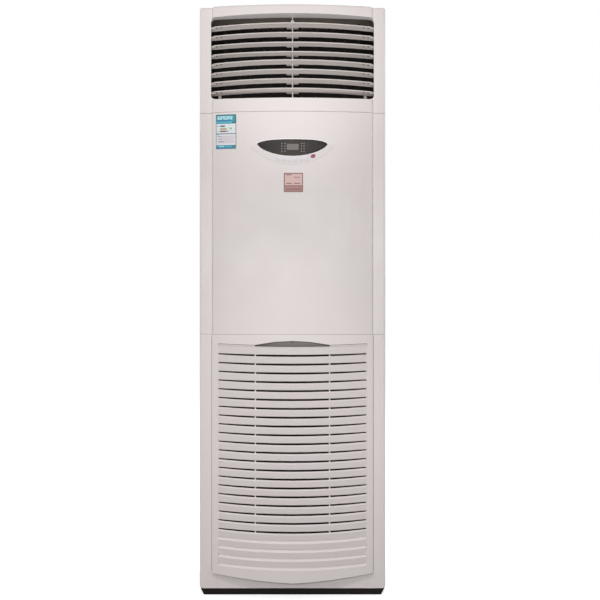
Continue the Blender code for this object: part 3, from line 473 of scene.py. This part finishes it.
# A mark on each key, with two short bars below it
mark_look = printed("key_mark_look", "A29AA6", 0.5)
caption_look = printed("caption_look", "B9B2BA", 0.5)
KEY_COUNT, KEY_PITCH = 6, 0.0176
for index in range(KEY_COUNT):
    x = (index - (KEY_COUNT - 1) / 2) * KEY_PITCH
    z = key_line(x)
    mark = rectangle(x - 0.0016, x + 0.0016, z - 0.0008, z + 0.0008)
    front_patch(f"key_mark_{index}", mark, KEY_FACE, 0.0001, mark_look, 2)
    for part, (low, high) in enumerate(((-0.0048, -0.0008), (0.0004, 0.0040))):
        bar = rectangle(x + low, x + high, z - 0.0086, z - 0.0068)
        front_patch(f"key_caption_{index}_{part}", bar, BEZEL_FACE, 0.0001, caption_look, 2)

# Rating label: a plain printed sheet with bars
white_film = printed("white_film", "E6ECEE", 0.4)
teal = printed("teal_print", "2F93A8", 0.4)
deep_teal = printed("deep_teal_print", "1A6A76", 0.4)
cyan = printed("cyan_print", "AEE0EA", 0.4)
blue_teal = printed("blue_teal_print", "2277A0", 0.4)
bright_blue = printed("bright_blue_print", "4FAFCB", 0.4)
lilac_film = printed("lilac_film", "DDD3DA", 0.45)
lilac = printed("lilac_print", "8F8798", 0.5)
moss = printed("moss_print", "39443C", 0.45)
tan = printed("tan_print", "BFA586", 0.45)
rust = printed("rust_print", "55302B", 0.45)
pale_green = printed("pale_green_print", "C3DCC0", 0.45)
green_teal = printed("green_teal_print", "1C7F78", 0.4)

LEFT, RIGHT, FOOT, TOP = -0.2288, -0.1677, 1.3400, 1.4426  # of the sheet
HEAD_FOOT = 1.4151
FOOT_TOP = FOOT + 0.0112
SHEET_WALL, PRINT_WALL = 0.0002, 0.00015


def print_bars(rows):
    """Printed bars as name, x from and to, z from and to, material and layer."""
    for name, x_low, x_high, z_low, z_high, material, layer in rows:
        lift = PRINT_FACE + layer * PRINT_LAYER
        bar = rectangle(x_low, x_high, z_low, z_high)
        front_patch(name, bar, lift, PRINT_WALL, material, 4)


front_patch("label_sheet", rectangle(LEFT, RIGHT, FOOT, TOP), PRINT_FACE, SHEET_WALL, white_film)
print_bars(
    (
        ("label_head", LEFT, RIGHT, HEAD_FOOT, TOP, teal, 1),
        ("label_head_top", LEFT, RIGHT, TOP - 0.0036, TOP, deep_teal, 2),
        ("label_head_side", RIGHT - 0.0050, RIGHT, HEAD_FOOT, TOP, green_teal, 3),
        ("label_head_field", -0.2248, -0.1790, 1.4270, 1.4382, cyan, 2),
        ("label_head_row", LEFT + 0.0012, -0.1840, 1.4222, 1.4270, blue_teal, 2),
        ("label_head_foot", LEFT + 0.0012, -0.1800, 1.4172, 1.4222, bright_blue, 2),
    )
)
HEAD_MARKS = (  # x, width, z, height
    (-0.2192, 0.0030, 1.4330, 0.0030),
    (-0.2105, 0.0036, 1.4275, 0.0040),
    (-0.2010, 0.0040, 1.4325, 0.0026),
    (-0.1910, 0.0040, 1.4225, 0.0075),
    (-0.1868, 0.0026, 1.4335, 0.0022),
)
print_bars(
    (f"label_head_mark_{index}", x, x + width, z, z + height, teal, 3)
    for index, (x, width, z, height) in enumerate(HEAD_MARKS)
)
wedge = [(RIGHT - 0.0150, HEAD_FOOT), (RIGHT - 0.0050, HEAD_FOOT), (RIGHT - 0.0050, 1.4240)]
front_patch("label_head_wedge", wedge, PRINT_FACE + 3 * PRINT_LAYER, PRINT_WALL, deep_teal, 4)
print_bars(
    (
        ("label_scale_0", -0.2242, -0.2218, 1.4066, 1.4092, moss, 2),
        ("label_scale_1", -0.2167, -0.2020, 1.4061, 1.4100, moss, 2),
        ("label_scale_2", -0.2167, -0.1966, 1.3965, 1.4022, tan, 2),
        ("label_scale_3", -0.2167, -0.1981, 1.3908, 1.3944, rust, 2),
        ("label_scale_4", -0.2242, -0.2218, 1.3914, 1.3938, rust, 2),
        ("label_scale_dot", -0.1966, -0.1930, 1.3908, 1.3944, rust, 2),
        ("label_scale_patch", -0.1905, -0.1838, 1.3956, 1.4040, pale_green, 2),
        ("label_scale_mark", -0.1834, -0.1816, 1.3985, 1.4030, moss, 2),
        ("label_rule", LEFT, -0.2200, 1.3832, 1.3862, teal, 2),
        ("label_rule_end", -0.2200, RIGHT, 1.3836, 1.3866, lilac, 2),
        ("label_field", -0.2200, -0.1730, 1.3565, 1.3795, lilac_film, 2),
        ("label_side_left", LEFT, LEFT + 0.0012, FOOT, TOP, deep_teal, 4),
        ("label_side_right", RIGHT - 0.0022, RIGHT, FOOT, HEAD_FOOT, lilac, 4),
    )
)
LABEL_LINES = (  # x, length, z
    (-0.2238, 0.0070, 1.3775),
    (-0.2140, 0.0030, 1.3775),
    (-0.2238, 0.0030, 1.3695),
    (-0.2160, 0.0034, 1.3690),
    (-0.2238, 0.0180, 1.3612),
)
print_bars(
    (f"label_line_{index}", x, x + length, z - 0.0012, z + 0.0012, lilac, 3)
    for index, (x, length, z) in enumerate(LABEL_LINES)
)
print_bars(
    (
        ("label_foot", LEFT, RIGHT, FOOT, FOOT_TOP, teal, 2),
        ("label_foot_edge", LEFT, RIGHT, FOOT, FOOT + 0.0030, blue_teal, 3),
        ("label_foot_end", RIGHT - 0.0115, RIGHT, FOOT + 0.0015, FOOT_TOP, green_teal, 4),
        ("label_foot_bar_0", -0.2205, -0.2045, FOOT + 0.0054, FOOT + 0.0084, cyan, 3),
        ("label_foot_bar_1", -0.2008, -0.1815, FOOT + 0.0054, FOOT + 0.0080, bright_blue, 3),
    )
)

# Square plate below the controls: a bare printed frame
plate_field = printed("plate_field", "DDBAB4", 0.45)
plate_border = printed("plate_border", "855955", 0.45)
plate_band = printed("plate_band", "AD807D", 0.45)
plate_mark = printed("plate_mark", "7A3B38", 0.45)
PLATE_X, PLATE_LOW, PLATE_SIDE = 0.0030, 1.2090, 0.0570
PLATE_LEFT = PLATE_X - PLATE_SIDE / 2
EDGE, FAR_EDGE = 0.003, PLATE_SIDE - 0.003
for name, low, high, bottom, top, lift, wall, material, steps in (
    ("plate_rim", 0.0, PLATE_SIDE, 0.0, PLATE_SIDE, 0.0005, 0.0003, plate_border, 4),
    ("plate_face", EDGE, FAR_EDGE, 0.0200, FAR_EDGE, 0.0008, 0.0002, plate_field, 4),
    ("plate_rule_0", 0.0070, 0.0235, 0.0500, 0.0526, 0.0010, 0.0001, plate_mark, 2),
    ("plate_rule_1", 0.0070, 0.0235, 0.0245, 0.0271, 0.0010, 0.0001, plate_mark, 2),
    ("plate_rule_2", 0.0300, 0.0475, 0.0245, 0.0271, 0.0010, 0.0001, plate_mark, 2),
    ("plate_rule_3", 0.0300, 0.0475, 0.0430, 0.0448, 0.0010, 0.0001, plate_mark, 2),
    ("plate_foot", EDGE, FAR_EDGE, EDGE, 0.0170, 0.0008, 0.0002, plate_band, 4),
    ("plate_foot_line", 0.006, PLATE_SIDE - 0.006, 0.0070, 0.0098, 0.0010, 0.0001, plate_mark, 4),
):
    outline = rectangle(PLATE_LEFT + low, PLATE_LEFT + high, PLATE_LOW + bottom, PLATE_LOW + top)
    front_patch(name, outline, lift, wall, material, steps)

# Screw in the handle recess
screw_look = printed("screw_look", "4A403E", 0.5)
screw_place = (0.0, front_y(0.0) + HANDLE_DEPTH - 0.0005, 0.7600)
disc("handle_screw", screw_place, 0.0022, 0.001, screw_look)


def blade_point(index, x, along, drop):
    """A point of a blade's section, along from its nose and drop below its middle."""
    y = BLADE_NOSE_Y + BLADE_BOW * (x / CENTRE_HALF) ** 2 + along
    z = BLADE_NOSE_Z - math.tan(BLADE_SLOPE) * along - drop
    tilt = math.radians(BLADE_TILTS[index])
    return (
        x,
        BLADE_AXIS_Y + y * math.cos(tilt) + z * math.sin(tilt),
        BLADE_TOP_AXIS - index * BLADE_PITCH + z * math.cos(tilt) - y * math.sin(tilt),
    )


# Dark pips near the ends of each blade, on its underside
pip_look = printed("pip_look", "3A322F", 0.6)
PIP_X = (0.2290, 0.2150)
PIP_ALONG, PIP_DROP, PIP_RADIUS, PIP_DEPTH = 0.0062, 0.0013, 0.0024, 0.0008
PIP_FACING = (0, -0.60, -0.80)
for index in range(BLADE_COUNT):
    for side in (-1, 1):
        for number, x in enumerate(PIP_X):
            disc(
                f"blade_{index + 1}_pip_{side}_{number}",
                blade_point(index, side * x, PIP_ALONG, PIP_DROP),
                PIP_RADIUS,
                PIP_DEPTH,
                pip_look,
                f"louvre_blade_{index + 1}",
                PIP_FACING,
            )


# Floor and world
bm = bmesh.new()
bmesh.ops.create_grid(bm, x_segments=1, y_segments=1, size=14.0)
floor_mesh = bpy.data.meshes.new("floor")
bm.to_mesh(floor_mesh)
bm.free()
floor = bpy.data.objects.new("floor", floor_mesh)
bpy.context.scene.collection.objects.link(floor)


def direct_rays(tree):
    """1 for rays that see a surface from the camera, in a reflection or through glass, else 0."""
    path = node(tree, "ShaderNodeLightPath").outputs
    seen = maths(tree, "MAXIMUM", path["Is Camera Ray"], path["Is Glossy Ray"])
    return maths(tree, "MAXIMUM", seen, path["Is Transmission Ray"])


def background(tree, colour, strength):
    new = node(tree, "ShaderNodeBackground")
    put(tree, (*colour, 1.0), new.inputs["Color"])
    put(tree, strength, new.inputs["Strength"])
    return new.outputs[0]


# The floor is white where it is lit, and less so in the object's shadow close by
floor_look = bpy.data.materials.new("floor_look")
floor_look.use_nodes = True
tree = floor_look.node_tree
tree.nodes.clear()
diffuse = node(tree, "ShaderNodeBsdfDiffuse")
shade = map_range(tree, direct_rays(tree), FLOOR_BOUNCE, FLOOR_PALE, 0.0, 1.0)
put(tree, shade, diffuse.inputs["Color"])
away = node(tree, "ShaderNodeVectorMath", operation="LENGTH")
put(tree, node(tree, "ShaderNodeNewGeometry").outputs["Position"], away.inputs[0])
level = map_range(tree, away.outputs["Value"], GLOW_NEAR, GLOW_FAR, NEAR, FAR)
glow = node(tree, "ShaderNodeEmission")
put(tree, maths(tree, "MULTIPLY", direct_rays(tree), level), glow.inputs["Strength"])
both = node(tree, "ShaderNodeAddShader")
put(tree, diffuse.outputs[0], both.inputs[0])
put(tree, glow.outputs[0], both.inputs[1])
output = node(tree, "ShaderNodeOutputMaterial")
put(tree, both.outputs[0], output.inputs["Surface"])
floor_mesh.materials.append(floor_look)

world = bpy.data.worlds.new("studio")
bpy.context.scene.world = world
world.use_nodes = True
tree = world.node_tree
tree.nodes.clear()
blend = node(tree, "ShaderNodeMixShader")
put(tree, direct_rays(tree), blend.inputs[0])
put(tree, background(tree, (1.0, 0.99, 0.985), 0.31), blend.inputs[1])
put(tree, background(tree, (1.0, 1.0, 1.0), 1.0), blend.inputs[2])
output = node(tree, "ShaderNodeOutputWorld")
put(tree, blend.outputs[0], output.inputs["Surface"])


# Lights and camera


def place_light(name, data, place, aim):
    light = bpy.data.objects.new(name, data)
    light.location = place
    light.rotation_euler = (Vector(aim) - Vector(place)).to_track_quat("-Z", "Y").to_euler()
    bpy.context.scene.collection.objects.link(light)


for name, place, aim, width, height, power in (
    ("key", (-0.4, -2.7, 3.2), (0, 0, 1.0), 1.8, 1.2, 11),
    ("fill", (-0.05, -3.0, 1.2), (0, 0, 1.15), 3.0, 0.5, 47),
    ("back", (0.4, 2.3, 3.6), (0, 0, 1.0), 1.8, 1.4, 62),
    ("left", (-2.8, 0.7, 1.8), (0, 0.1, 0.9), 1.6, 1.6, 30),
    ("right", (2.8, 0.7, 1.8), (0, 0.1, 0.9), 1.6, 1.6, 30),
):
    data = bpy.data.lights.new(name, "AREA")
    data.shape = "RECTANGLE"
    data.size, data.size_y, data.energy = width, height, power
    place_light(name, data, place, aim)

# A low light turned up at the outlet, which reaches under its upper lip, and a high
# light on the intake panel, which picks out the upper edges of its ribs
for name, place, aim, power, degrees, soft in (
    ("low", (0.0, -1.45, 0.46), (0.0, -0.15, 1.75), 48, 29, 0.10),
    ("high", (-0.1, -1.9, 2.5), (0.0, -0.17, 0.38), 68, 22, 0.12),
):
    data = bpy.data.lights.new(name, "SPOT")
    data.energy, data.spot_size, data.spot_blend = power, math.radians(degrees), 1.0
    data.shadow_soft_size = soft
    place_light(name, data, place, aim)

scene = bpy.context.scene
scene.view_settings.view_transform = "Standard"
camera_data = bpy.data.cameras.new("camera")
camera_data.angle = 2 * math.atan(300 * METRES_PER_PIXEL / CAMERA_DISTANCE)
camera = bpy.data.objects.new("camera", camera_data)
camera.location = (CAMERA_X, STRIP_Y - CAMERA_DISTANCE, CAMERA_HEIGHT)
camera.rotation_euler = (math.pi / 2, 0, 0)
scene.collection.objects.link(camera)
scene.camera = camera
